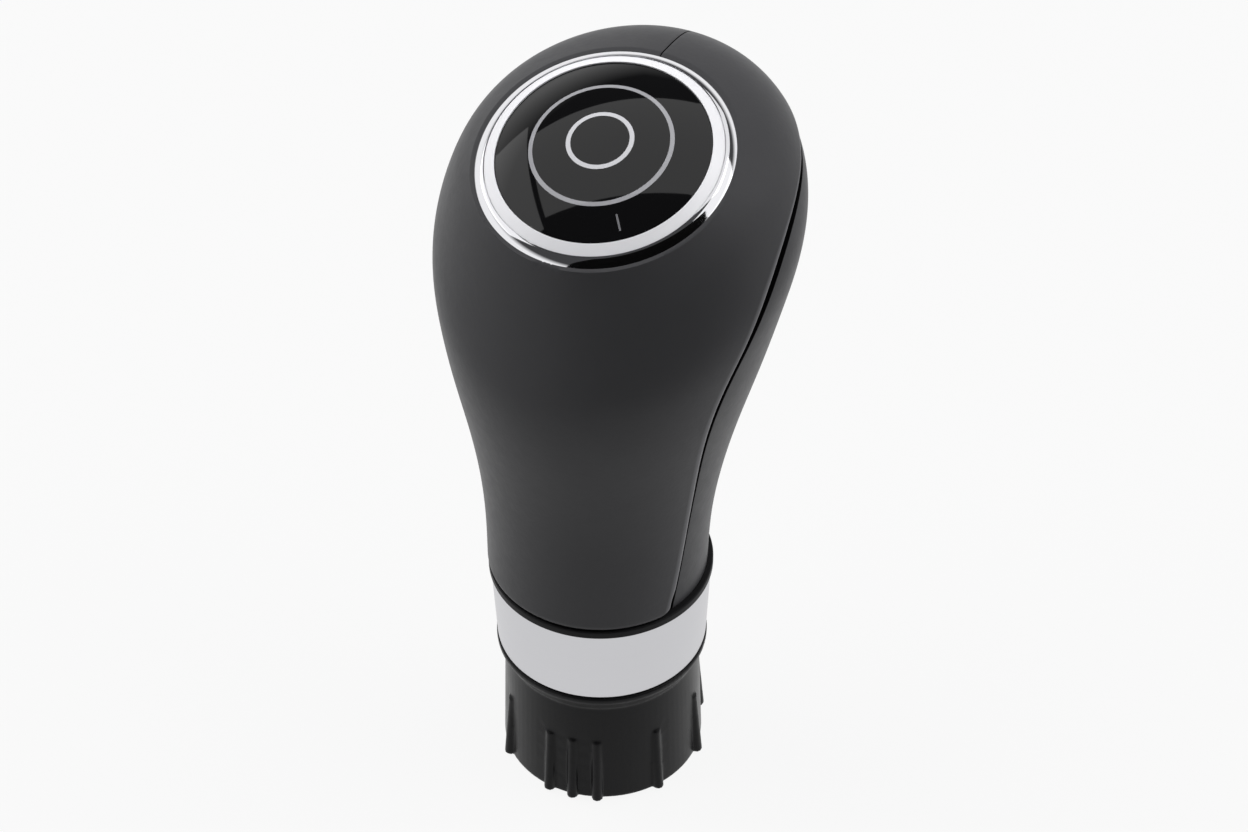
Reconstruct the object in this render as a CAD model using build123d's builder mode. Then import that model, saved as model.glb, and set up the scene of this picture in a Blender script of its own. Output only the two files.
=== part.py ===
import os
from math import cos, radians, sin

from build123d import *

os.makedirs("parts", exist_ok=True)

# The origin is on the lever axis, at the foot of the lock collar. The driver's side is -Y.

# Fits between pieces
fixed_fit = 0.05
running_fit = 0.3
bearing_fit = 0.1

# Lever and socket
lever_diameter = 10.0
lever_fit = 0.1
socket_wall = 3.0
socket_recess = 0.2
bore_depth = 55.0
bore_lead_in = 0.3
stop_thickness = 3.0
stop_step = 0.8
socket_end_wall = 2.0
socket_flange_thickness = 2.6
shoulder_step = 1.0
shoulder_height = 2.0

# Lock collar
collar_height = 23.9
collar_wall = 1.3
collar_flare = 0.7
collar_rim_overhang = 0.15
collar_rim_thickness = 1.0
collar_cone_height = 2.4
collar_foot_chamfer = 0.4
web_thickness = 2.8
lock_angle = 60.0

# Ribs on the collar: three close together and the rest evenly spaced round it
rib_radius = 0.9
rib_height = 13.0
rib_top_reach = 0.4
rib_reach = 1.1
rib_group_angle = 9.6
rib_close_pitch = 14.2
rib_pitch = 36.0
ribs_around = 7

# Locking pawls
pawl_width = 3.4
pawl_height = 4.0
pawl_travel = 1.0
pawl_drop = 1.9
pawl_play = 0.15
pawl_end_margin = 0.6
pawl_nose_chamfer = 0.8
peg_radius = 1.0

# Retaining clip
clip_thickness = 1.1
clip_grip = 0.95
clip_groove_depth = 0.8
clip_opening = 9.0

# Socket screws
screw_count = 3
screw_radius = 1.1
screw_head_radius = 2.0
screw_length = 10.0
screw_margin = 0.15

# Trim sleeve and neck ring
sleeve_foot_radius = 16.6
sleeve_top_radius = 17.2
sleeve_height = 14.0
sleeve_wall = 1.2
sleeve_lip_thickness = 1.4
sleeve_lip_overlap = 1.05
sleeve_edge_chamfer = 0.25
neck_ring_radius = 17.5
neck_ring_thickness = 1.4
neck_ring_edge_chamfer = 0.25
neck_skirt_wall = 1.8
boss_step = 0.7

# Head: a neck that swells and leans back to its widest section, then closes to the badge
neck_radius = 17.6
head_radius = 26.9
head_depth_ratio = 1.055
head_rise = 61.7
crown_rise = 12.1
head_setback = 7.5
seat_setback = 2.7
badge_tilt = 20.0
neck_swell = 1.27
neck_lean = 1.45
neck_turn = 1.5
crown_fullness = 2.3
crown_sharpness = 1.28
hem_radius = 1.3
rear_hem_chamfer = 0.3

# Leather
front_thickness = 2.2
rear_thickness = 1.8
rear_neck_thickness = 1.2
glue_line = 0.1
seam_gap = 0.6
rear_lift = 0.2
panel_corner_radius = 2.0
crown_slit = 0.5

# Badge
seat_border = 0.5
lip_width = 1.5
lip_height = 1.05
lip_edge = 0.3
frame_radius = 16.95
frame_width = 1.65
frame_edge_height = 0.75
frame_inner_height = 1.6
frame_foot = 0.2
lens_rise = 2.9
lens_edge_height = 1.35
lens_seat_height = 0.8
lens_ledge = 1.5
bezel_skirt_wall = 1.3
bezel_skirt_depth = 3.0
leg_count = 3
leg_angle = 34.0
leg_thickness = 1.4
leg_length = 6.0
leg_hook = 0.8
leg_hook_height = 1.6
leg_room = 1.0

# Heights along the lever axis
sleeve_foot = collar_height + running_fit
sleeve_top = sleeve_foot + sleeve_height
hem = sleeve_top + neck_ring_thickness
flange_bottom = sleeve_foot - socket_flange_thickness
shoulder_bottom = flange_bottom - shoulder_height
web_top = shoulder_bottom - running_fit
web_bottom = web_top - web_thickness
clip_top = web_bottom - running_fit
clip_bottom = clip_top - clip_thickness
pawl_top = clip_bottom - pawl_drop
pawl_bottom = pawl_top - pawl_height
stop_bottom = socket_recess + bore_depth
stop_top = stop_bottom + stop_thickness
socket_top = stop_top + socket_end_wall
lip_top = sleeve_foot + sleeve_lip_thickness
seat_rise = head_rise + crown_rise

# Radii about the lever axis
bore_radius = (lever_diameter + lever_fit) / 2
stop_radius = bore_radius - stop_step
socket_radius = bore_radius + socket_wall
shoulder_radius = socket_radius + shoulder_step
clip_inner_radius = socket_radius - clip_groove_depth + fixed_fit
clip_outer_radius = socket_radius + clip_grip
sleeve_bore_radius = sleeve_foot_radius - sleeve_wall
skirt_radius = sleeve_bore_radius - fixed_fit
skirt_bore_radius = skirt_radius - neck_skirt_wall
spigot_radius = skirt_bore_radius - fixed_fit
boss_radius = spigot_radius - boss_step
lip_bore_radius = boss_radius + fixed_fit
flange_radius = lip_bore_radius + sleeve_lip_overlap
collar_bore_radius = flange_radius + running_fit
collar_waist_radius = collar_bore_radius + collar_wall
collar_foot_radius = collar_waist_radius + collar_flare
collar_rim_radius = sleeve_foot_radius + collar_rim_overhang
screw_circle = shoulder_radius + screw_head_radius + screw_margin
peg_rest_radius = clip_outer_radius + running_fit + peg_radius + pawl_travel
slot_width = 2 * (peg_radius + pawl_play)

# Radii about the badge axis: the frame holds the lens, and the lip and the leather's edge go round the frame
lens_radius = frame_radius - frame_width - fixed_fit
frame_bore_radius = frame_radius + fixed_fit
lip_radius = frame_bore_radius + lip_width
seat_radius = lip_radius + seat_border

# Badge frame of reference: the seat plane is the leather's top edge, and its normal leans forward
tilt = radians(badge_tilt)
badge_normal = Vector(0, -sin(tilt), cos(tilt))
seat_centre = Vector(0, seat_setback, hem + seat_rise)
badge_axis = Axis(seat_centre, badge_normal)
badge_plane = Plane(origin=seat_centre, x_dir=(1, 0, 0), z_dir=badge_normal)
badge_profile = Plane(origin=seat_centre, x_dir=(1, 0, 0), z_dir=(0, -cos(tilt), -sin(tilt)))
skirt_ring_radius = frame_radius - fixed_fit
carrier_radius = skirt_ring_radius - bezel_skirt_wall - fixed_fit
leather_hole_radius = skirt_ring_radius + 4 * fixed_fit
well_radius = skirt_ring_radius + 2 * fixed_fit
well_floor = -bezel_skirt_depth
leg_radius = carrier_radius - leg_hook
leg_bore_radius = leg_radius + 3 * fixed_fit
leg_foot = well_floor - leg_length
hook_top = leg_foot + leg_hook_height


def ease(t):
    """Smooth step from 0 to 1."""
    return t**2 * (3 - 2 * t)


def head_sections(inset, neck_inset):
    """Planes, half depths and half widths from the hem up to the badge seat, moved inwards by the insets."""
    sections = []
    for step in range(7):
        t = step / 6
        radius = neck_radius + (head_radius - neck_radius) * ease(t**neck_swell)
        depth = radius * (1 + (head_depth_ratio - 1) * ease(t))
        lean = radians(badge_tilt * t**neck_turn)
        centre = Vector(0, head_setback * t**neck_lean, hem + head_rise * t)
        plane = Plane(centre, x_dir=(0, cos(lean), sin(lean)), z_dir=(0, -sin(lean), cos(lean)))
        step_inset = neck_inset + (inset - neck_inset) * ease(t)
        sections.append((plane, depth - step_inset, radius - step_inset))
    for angle in (30, 60, 90):
        level = cos(radians(angle)) if angle < 90 else 0
        rise = sin(radians(angle)) ** crown_sharpness
        spread = level**crown_sharpness
        radius = seat_radius + (head_radius - seat_radius) * spread
        depth = radius * (1 + (head_depth_ratio - 1) * level)
        setback = head_setback + (seat_setback - head_setback) * rise
        setback += crown_fullness * sin(radians(2 * angle))
        height = hem + head_rise + (seat_rise - head_rise) * rise
        centre = Vector(0, setback, height) - badge_normal * (inset * rise)
        plane = Plane(centre, x_dir=(0, cos(tilt), sin(tilt)), z_dir=badge_normal)
        sections.append((plane, depth - inset * spread, radius - inset * spread))
    return sections


def head_form(inset, neck_inset):
    """Solid form of the head, moved inwards by inset, and by neck_inset at the hem."""
    with BuildPart() as form:
        for plane, depth, width in head_sections(inset, neck_inset):
            with BuildSketch(plane):
                Ellipse(depth, width)
        loft()
    return form.part


core_inset = front_thickness + glue_line
front_form = head_form(0, 0)
rear_form = head_form(front_thickness - rear_thickness, front_thickness - rear_neck_thickness)
leather_inside = head_form(front_thickness, front_thickness)
core_form = head_form(core_inset, core_inset)

# The seam in side view: setbacks as shares of the head's radius, and heights as shares of the head's rise
seam_points = [
    (-0.19, 0),
    (-0.171, 0.13),
    (-0.2, 0.44),
    (-0.257, 0.668),
    (-0.134, 0.896),
    (0.26, 1.083),
    (0.836, 1.16),
    (1.636, 1.22),
]
seam_reach = 3 * head_radius


def seam_region(side):
    """Everything in front of the seam (side -1) or behind it (side 1), with half the gap taken off."""
    shift = side * seam_gap / 2
    top = hem + 2 * seam_reach
    with BuildPart() as region:
        with BuildSketch(Plane.YZ) as outline:
            with BuildLine():
                seam = Spline(
                    *[(head_radius * y + shift, hem + (head_rise - shift) * z) for y, z in seam_points]
                )
                if side < 0:
                    Polyline(seam @ 1, (seam_reach, top), (-seam_reach, top), (-seam_reach, hem), seam @ 0)
                else:
                    Polyline(seam @ 1, (seam_reach, hem), seam @ 0)
            make_face()
            if side < 0:
                hem_corner = outline.vertices().group_by(Axis.Y)[0].sort_by(Axis.X)[-1]
                fillet(hem_corner, panel_corner_radius)
        extrude(amount=seam_reach, both=True)
    return region.part


front_region = seam_region(-1)
rear_region = seam_region(1)

# Front leather panel, with its wings meeting behind the badge
with BuildPart() as front_leather:
    add(front_form)
    fillet(front_leather.edges().group_by(Axis.Z)[0], hem_radius)
    add(leather_inside, mode=Mode.SUBTRACT)
    add(front_region, mode=Mode.INTERSECT)
    with BuildSketch(badge_plane.offset(-2 * front_thickness)):
        Circle(leather_hole_radius)
    extrude(amount=4 * front_thickness, mode=Mode.SUBTRACT)
    with BuildSketch(badge_plane.offset(-head_radius)):
        with Locations((0, head_radius)):
            Rectangle(crown_slit, 2 * head_radius)
    extrude(amount=2 * head_radius, mode=Mode.SUBTRACT)
front_leather.part.label = "front_leather"
export_step(front_leather.part, "parts/front_leather.step")

# Rear leather panel
with BuildPart() as rear_leather:
    add(rear_form)
    split(bisect_by=Plane.XY.offset(hem + rear_lift), keep=Keep.TOP)
    chamfer(rear_leather.edges().group_by(Axis.Z)[0], rear_hem_chamfer)
    add(leather_inside, mode=Mode.SUBTRACT)
    add(rear_region, mode=Mode.INTERSECT)
rear_leather.part.label = "rear_leather"
export_step(rear_leather.part, "parts/rear_leather.step")

# Core under the leather, with the neck spigot, the socket bore, the screw holes and the badge well
with BuildPart() as core:
    add(core_form)
    with BuildSketch(Plane.XY.offset(lip_top)):
        Circle(spigot_radius)
    extrude(amount=hem - lip_top + neck_ring_thickness)
    with BuildSketch(Plane.XY.offset(sleeve_foot)):
        Circle(boss_radius)
    extrude(amount=sleeve_lip_thickness)
    with BuildSketch(Plane.XY.offset(sleeve_foot)):
        Circle(socket_radius + fixed_fit)
    extrude(amount=socket_top + fixed_fit - sleeve_foot, mode=Mode.SUBTRACT)
    with BuildSketch(Plane.XY.offset(sleeve_foot)):
        with PolarLocations(screw_circle, screw_count):
            Circle(screw_radius + fixed_fit)
    extrude(amount=screw_length, mode=Mode.SUBTRACT)
    with BuildSketch(badge_plane.offset(well_floor)):
        Circle(well_radius)
    extrude(amount=bezel_skirt_depth + front_thickness, mode=Mode.SUBTRACT)
    with BuildSketch(badge_plane.offset(leg_foot - leg_room)):
        Circle(leg_bore_radius)
    extrude(amount=leg_length + leg_room, mode=Mode.SUBTRACT)
    with BuildSketch(badge_plane.offset(leg_foot - leg_room)):
        Circle(leg_bore_radius + leg_hook)
    extrude(amount=leg_hook_height + leg_room + fixed_fit, mode=Mode.SUBTRACT)
core.part.label = "core"
export_step(core.part, "parts/core.step")

# Thin black ring under the leather, with a skirt inside the trim sleeve
with BuildPart() as neck_ring:
    with BuildSketch(Plane.XZ):
        with BuildLine():
            Polyline(
                (skirt_bore_radius, lip_top),
                (skirt_radius, lip_top),
                (skirt_radius, sleeve_top),
                (neck_ring_radius, sleeve_top),
                (neck_ring_radius, hem),
                (skirt_bore_radius, hem),
                close=True,
            )
        make_face()
    revolve(axis=Axis.Z)
    rim_edges = neck_ring.edges().filter_by(GeomType.CIRCLE).group_by(SortBy.RADIUS)[-1]
    chamfer(rim_edges, neck_ring_edge_chamfer)
neck_ring.part.label = "neck_ring"
export_step(neck_ring.part, "parts/neck_ring.step")

# Satin trim sleeve, a cone with a lip at its foot
with BuildPart() as trim_sleeve:
    with BuildSketch(Plane.XZ):
        with BuildLine():
            Polyline(
                (lip_bore_radius, sleeve_foot),
                (sleeve_foot_radius, sleeve_foot),
                (sleeve_top_radius, sleeve_top),
                (sleeve_bore_radius, sleeve_top),
                (sleeve_bore_radius, lip_top),
                (lip_bore_radius, lip_top),
                close=True,
            )
        make_face()
    revolve(axis=Axis.Z)
    ring_edges = trim_sleeve.edges().filter_by(GeomType.CIRCLE)
    top_edge = ring_edges.group_by(Axis.Z)[-1].sort_by(SortBy.RADIUS)[-1]
    foot_edge = ring_edges.group_by(Axis.Z)[0].sort_by(SortBy.RADIUS)[-1]
    chamfer([top_edge, foot_edge], sleeve_edge_chamfer)
trim_sleeve.part.label = "trim_sleeve"
export_step(trim_sleeve.part, "parts/trim_sleeve.step")

# Lever socket: blind tube, shoulder, clamping flange, pawl windows and clip groove
with BuildPart() as lever_socket:
    with BuildSketch(Plane.XZ):
        with BuildLine():
            Polyline(
                (bore_radius + bore_lead_in, socket_recess),
                (socket_radius, socket_recess),
                (socket_radius, clip_bottom - fixed_fit),
                (socket_radius - clip_groove_depth, clip_bottom - fixed_fit),
                (socket_radius - clip_groove_depth, clip_top + fixed_fit),
                (socket_radius, clip_top + fixed_fit),
                (socket_radius, shoulder_bottom),
                (shoulder_radius, shoulder_bottom),
                (shoulder_radius, flange_bottom),
                (flange_radius, flange_bottom),
                (flange_radius, sleeve_foot),
                (socket_radius, sleeve_foot),
                (socket_radius, socket_top),
                (0, socket_top),
                (0, stop_top),
                (stop_radius + fixed_fit, stop_top),
                (stop_radius + fixed_fit, stop_bottom),
                (bore_radius, stop_bottom),
                (bore_radius, socket_recess + bore_lead_in),
                close=True,
            )
        make_face()
    revolve(axis=Axis.Z)
    with BuildSketch(Plane.XY.offset(pawl_bottom - pawl_play)):
        Rectangle(4 * socket_radius, pawl_width + 2 * pawl_play)
    extrude(amount=pawl_height + 2 * pawl_play, mode=Mode.SUBTRACT)
    with Locations(Plane((0, 0, flange_bottom), z_dir=(0, 0, -1))):
        with PolarLocations(screw_circle, screw_count, start_angle=180):
            CounterSinkHole(screw_radius + fixed_fit, screw_head_radius + fixed_fit)
lever_socket.part.label = "lever_socket"
export_step(lever_socket.part, "parts/lever_socket.step")

# Countersunk screws that hold the socket to the core
with BuildPart() as socket_screws:
    with BuildSketch(Plane.XY.offset(flange_bottom)):
        with PolarLocations(screw_circle, screw_count):
            Circle(screw_radius)
    extrude(amount=screw_length)
    with Locations((0, 0, flange_bottom + (screw_head_radius - screw_radius) / 2)):
        with PolarLocations(screw_circle, screw_count):
            Cone(screw_head_radius, screw_radius, screw_head_radius - screw_radius)
socket_screws.part.label = "socket_screws"
export_step(socket_screws.part, "parts/socket_screws.step")

# Rubber pad at the end of the bore
with BuildPart() as lever_stop:
    with BuildSketch(Plane.XY.offset(stop_bottom)):
        Circle(stop_radius)
    extrude(amount=stop_thickness)
lever_stop.part.label = "lever_stop"
export_step(lever_stop.part, "parts/lever_stop.step")

# Lock collar: waisted shell, web with two scroll slots, and ribs that flare towards the foot
with BuildPart() as lock_collar:
    with BuildSketch(Plane.XZ):
        with BuildLine():
            Polyline(
                (collar_bore_radius, 0),
                (collar_foot_radius - collar_foot_chamfer, 0),
                (collar_foot_radius, collar_foot_chamfer),
                (collar_waist_radius, collar_height - collar_rim_thickness - collar_cone_height),
                (collar_rim_radius, collar_height - collar_rim_thickness),
                (collar_rim_radius, collar_height),
                (collar_bore_radius, collar_height),
                (collar_bore_radius, web_top),
                (socket_radius + bearing_fit, web_top),
                (socket_radius + bearing_fit, web_bottom),
                (collar_bore_radius, web_bottom),
                close=True,
            )
        make_face()
    revolve(axis=Axis.Z)
    with BuildSketch(Plane.XY.offset(web_bottom)):
        for start_angle in (0, 180):
            scroll = []
            for share in (0, 0.5, 1):
                angle = radians(start_angle - share * lock_angle)
                radius = peg_rest_radius - share * pawl_travel
                scroll.append((radius * cos(angle), radius * sin(angle)))
            SlotArc(ThreePointArc(*scroll, mode=Mode.PRIVATE), slot_width)
    extrude(amount=web_thickness, mode=Mode.SUBTRACT)
    waist_height = collar_height - collar_rim_thickness - collar_cone_height
    wall_slope = (collar_foot_radius - collar_waist_radius) / (waist_height - collar_foot_chamfer)
    rib_top_radius = collar_waist_radius + (waist_height - rib_height) * wall_slope + rib_top_reach - rib_radius
    rib_foot_radius = collar_foot_radius + rib_reach - rib_radius
    rib_turns = [-rib_close_pitch - rib_pitch, -rib_close_pitch, 0, rib_close_pitch]
    for count in range(ribs_around):
        rib_turns.append(rib_close_pitch + (count + 1) * rib_pitch)
    for turn in rib_turns:
        azimuth = radians(rib_group_angle + turn - 90)
        outward = Vector(cos(azimuth), sin(azimuth), 0)
        rib_foot = outward * rib_foot_radius + Vector(0, 0, collar_foot_chamfer)
        rib_line = outward * rib_top_radius + Vector(0, 0, rib_height) - rib_foot
        with Locations(Plane(rib_foot, z_dir=rib_line)):
            Cylinder(rib_radius, rib_line.length, align=(Align.CENTER, Align.CENTER, Align.MIN))
lock_collar.part.label = "lock_collar"
export_step(lock_collar.part, "parts/lock_collar.step")

# Locking pawls: a block through the socket wall, and a peg in the collar's scroll slot
pawl_nose = bore_radius + fixed_fit
pawl_end = peg_rest_radius + peg_radius + pawl_end_margin
with BuildPart() as pawl_right:
    with BuildSketch(Plane.XY.offset(pawl_bottom)):
        with Locations((pawl_nose, 0)):
            Rectangle(pawl_end - pawl_nose, pawl_width, align=(Align.MIN, Align.CENTER))
    extrude(amount=pawl_height)
    nose_edges = pawl_right.edges().filter_by(Axis.Y).group_by(Axis.X)[0]
    chamfer(nose_edges, pawl_nose_chamfer)
    with BuildSketch(Plane.XY.offset(pawl_top)):
        with Locations((peg_rest_radius, 0)):
            Circle(peg_radius)
    extrude(amount=web_top - running_fit - pawl_top)
pawl_right.part.label = "pawl_right"
export_step(pawl_right.part, "parts/pawl_right.step")

with BuildPart() as pawl_left:
    add(pawl_right.part)
    mirror(about=Plane.YZ, mode=Mode.REPLACE)
pawl_left.part.label = "pawl_left"
export_step(pawl_left.part, "parts/pawl_left.step")

# Open ring in the socket's groove that keeps the collar on
with BuildPart() as retaining_clip:
    with BuildSketch(Plane.XY.offset(clip_bottom)):
        Circle(clip_outer_radius)
        Circle(clip_inner_radius, mode=Mode.SUBTRACT)
        with Locations((0, clip_outer_radius)):
            Rectangle(clip_opening, clip_outer_radius, mode=Mode.SUBTRACT)
    extrude(amount=clip_thickness)
retaining_clip.part.label = "retaining_clip"
export_step(retaining_clip.part, "parts/retaining_clip.step")

# Plug that carries the badge, with snap legs
with BuildPart() as badge_carrier:
    with BuildSketch(badge_plane.offset(well_floor)):
        Circle(carrier_radius)
    extrude(amount=frame_foot - fixed_fit - well_floor)
    for leg in range(leg_count):
        outward = Vector(1, 0, 0).rotate(badge_axis, 360 / leg_count * leg)
        leg_plane = Plane(seat_centre, x_dir=outward, z_dir=outward.cross(badge_normal))
        with BuildSketch(leg_plane):
            with BuildLine():
                Polyline(
                    (leg_radius - leg_thickness, well_floor + leg_thickness),
                    (leg_radius, well_floor + leg_thickness),
                    (leg_radius, hook_top),
                    (leg_radius + leg_hook, hook_top),
                    (leg_radius, leg_foot),
                    (leg_radius - leg_thickness, leg_foot),
                    close=True,
                )
            make_face()
        revolve(axis=badge_axis, revolution_arc=leg_angle)
badge_carrier.part.label = "badge_carrier"
export_step(badge_carrier.part, "parts/badge_carrier.step")

# Bright outer ring: a rounded lip on the leather and a skirt in the well
with BuildPart() as bezel_ring:
    with BuildSketch(badge_profile):
        with BuildLine():
            Polyline(
                (skirt_ring_radius - bezel_skirt_wall, well_floor),
                (skirt_ring_radius, well_floor),
                (skirt_ring_radius, 0),
                (lip_radius, 0),
                (lip_radius, lip_height),
                (frame_bore_radius, lip_height),
                (frame_bore_radius, frame_foot),
                (skirt_ring_radius - bezel_skirt_wall, frame_foot),
                close=True,
            )
        make_face()
    revolve(axis=badge_axis)
    lip_edges = bezel_ring.edges().filter_by(GeomType.CIRCLE).group_by(SortBy.RADIUS)[-1]
    fillet(lip_edges.sort_by(badge_axis)[-1], lip_height - lip_edge)
bezel_ring.part.label = "bezel_ring"
export_step(bezel_ring.part, "parts/bezel_ring.step")

# Bright bevelled frame round the lens
with BuildPart() as badge_frame:
    with BuildSketch(badge_profile):
        with BuildLine():
            Polyline(
                (lens_radius - lens_ledge, frame_foot),
                (frame_radius, frame_foot),
                (frame_radius, frame_edge_height),
                (lens_radius + fixed_fit, frame_inner_height),
                (lens_radius + fixed_fit, lens_seat_height),
                (lens_radius - lens_ledge, lens_seat_height),
                close=True,
            )
        make_face()
    revolve(axis=badge_axis)
badge_frame.part.label = "badge_frame"
export_step(badge_frame.part, "parts/badge_frame.step")

# Domed gloss lens
with BuildPart() as badge_lens:
    with BuildSketch(badge_profile):
        with BuildLine():
            dome = TangentArc((0, lens_edge_height + lens_rise), (lens_radius, lens_edge_height), tangent=(1, 0))
            Polyline(dome @ 1, (lens_radius, lens_seat_height), (0, lens_seat_height), dome @ 0)
        make_face()
    revolve(axis=badge_axis)
badge_lens.part.label = "badge_lens"
export_step(badge_lens.part, "parts/badge_lens.step")
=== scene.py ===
"""Gear shift knob: a leather head with a round badge, a satin trim sleeve and a ribbed lock collar."""

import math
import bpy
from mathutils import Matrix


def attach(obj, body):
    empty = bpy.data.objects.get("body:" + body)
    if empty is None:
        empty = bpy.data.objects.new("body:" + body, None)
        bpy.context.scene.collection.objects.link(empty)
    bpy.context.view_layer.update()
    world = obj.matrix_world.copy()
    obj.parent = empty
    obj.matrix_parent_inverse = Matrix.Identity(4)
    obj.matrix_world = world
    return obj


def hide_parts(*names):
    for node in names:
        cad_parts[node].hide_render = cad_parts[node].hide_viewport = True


bl_info = {
    "name": "Gear Shift Knob",
    "version": (1, 0, 0),
    "blender": (4, 5, 0),
    "location": "View3D > Sidebar > Knob",
    "description": "Dresses the solid model of a gear shift knob and sets up its studio",
    "category": "Object",
}

import bpy
import numpy as np
from mathutils import Matrix, Vector

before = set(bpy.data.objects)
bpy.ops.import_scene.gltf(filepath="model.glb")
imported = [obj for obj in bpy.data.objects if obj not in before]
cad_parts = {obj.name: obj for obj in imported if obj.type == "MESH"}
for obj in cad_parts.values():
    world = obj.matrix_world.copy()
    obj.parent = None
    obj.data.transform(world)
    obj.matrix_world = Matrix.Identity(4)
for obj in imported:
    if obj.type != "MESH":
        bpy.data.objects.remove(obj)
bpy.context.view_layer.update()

MM = 0.001

# The badge sits on a plane that leans towards the driver
BADGE_TILT = math.radians(20)
SEAT_CENTRE = Vector((0, 2.7, 113.4)) * MM

# Turned profiles as (radius, height) in millimetres
# Heights of the badge's pieces are above its seat plane, and those of the sleeve and the ring above the foot
BEZEL_FOOT = [(17.0, 0.7), (17.0, 0.2), (15.6, 0.2), (15.6, -3.0), (16.9, -3.0), (16.9, 0.0)]
BADGE_FRAME_PROFILE = [(13.75, 0.2), (16.95, 0.2), (16.95, 0.75), (15.3, 1.6), (15.3, 0.8), (13.75, 0.8)]
SLEEVE_PROFILE = [(12.85, 24.2), (16.6, 24.2), (17.2, 38.2), (15.4, 38.2), (15.4, 25.6), (12.85, 25.6)]
NECK_RING_PROFILE = [(13.55, 25.6), (15.35, 25.6), (15.35, 38.2), (17.5, 38.2), (17.5, 39.6), (13.55, 39.6)]

# The lip's rounded face, an arc in that profile
BEAD_CENTRE = (16.17, -1.984)
BEAD_RADIUS = 3.0
BEAD_SPAN = (math.radians(38), math.radians(74))

# Sections of the head in millimetres, from the hem over the widest one to the badge's seat
HEM = 39.6
NECK_RADIUS, HEAD_RADIUS, SEAT_RADIUS = 17.6, 26.9, 19.0
HEAD_RISE, CROWN_RISE = 61.7, 12.1
HEAD_SETBACK, SEAT_SETBACK = 7.5, 2.7
DEPTH_RATIO = 1.055

# How those sections change on the way up: powers of the share of the rise, and the crown's bulge
NECK_SWELL, NECK_LEAN, NECK_TURN = 1.27, 1.45, 1.5
CROWN_SHARPNESS, CROWN_FULLNESS = 1.28, 2.3

# The seam in side view: setbacks as shares of the head's radius, and heights as shares of the head's rise
SEAM = [
    (-0.268, 0), (-0.203, 0.13), (-0.187, 0.44), (-0.216, 0.668),
    (-0.052, 0.896), (0.358, 1.083), (0.87, 1.16), (1.636, 1.22),
]

# Samples along the seam and up the head, from which the panels' edges are measured
SEAM_SAMPLES = 1200

# Mesh of the front panel: its rows along the seam, with the share of the seam that the lower corner takes
CORNER_ROWS, SEAM_ROWS, CORNER_SHARE = 8, 186, 0.0115

# Its columns up to the badge's brink and under it, closer together near the seam by a power of their share
ACROSS_COLUMNS, UNDER_COLUMNS, COLUMN_POWER = 88, 5, 1.6

# Share of its rows that end on the middle line of the front, before the others end under the badge
FRONT_SHARE = 0.56

# Mesh of the rear panel: its rows along the seam, of which the first ones are its sides
REAR_ROWS, REAR_SIDE_ROWS = 220, 130

# Lens dome
LENS_RADIUS = 15.25 * MM
LENS_SEAT = 0.8 * MM
LENS_EDGE = 1.35 * MM
LENS_RISE = 2.9 * MM
LENS_STEPS = 24

# Camera: the picture's width and the focal length in pixels, and the sensor's width in millimetres
FRAME_WIDTH = 1248
FOCAL_PIXELS = 2690
SENSOR_WIDTH = 36.0

# Turn of the ceiling panels about the vertical
PANEL_TURN = (0, 0, math.radians(30))

# Share of plain white in what the camera and mirrors see of the floor
FLOOR_WHITE = 0.9

# White walls: how much lower they end in front and higher at the sides, and the levels where they fade
WALL_LEAN, WALL_RISE = 0.28, 0.25
WALL_TOP, DARK_FROM = 0.12, 0.38
ROOM_COLOR = (0.06, 0.06, 0.062, 1)

# Black card in front: its turn to the right, its distance and its size
CARD_TURN = math.radians(40)
CARD_DISTANCE, CARD_WIDTH, CARD_HEIGHT = 0.2, 0.45, 0.52


def linear(code):
    """Linear colour of an sRGB hex code."""
    channels = [int(code[i:i + 2], 16) / 255 for i in (1, 3, 5)]
    return [c / 12.92 if c <= 0.04045 else ((c + 0.055) / 1.055) ** 2.4 for c in channels]


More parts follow.
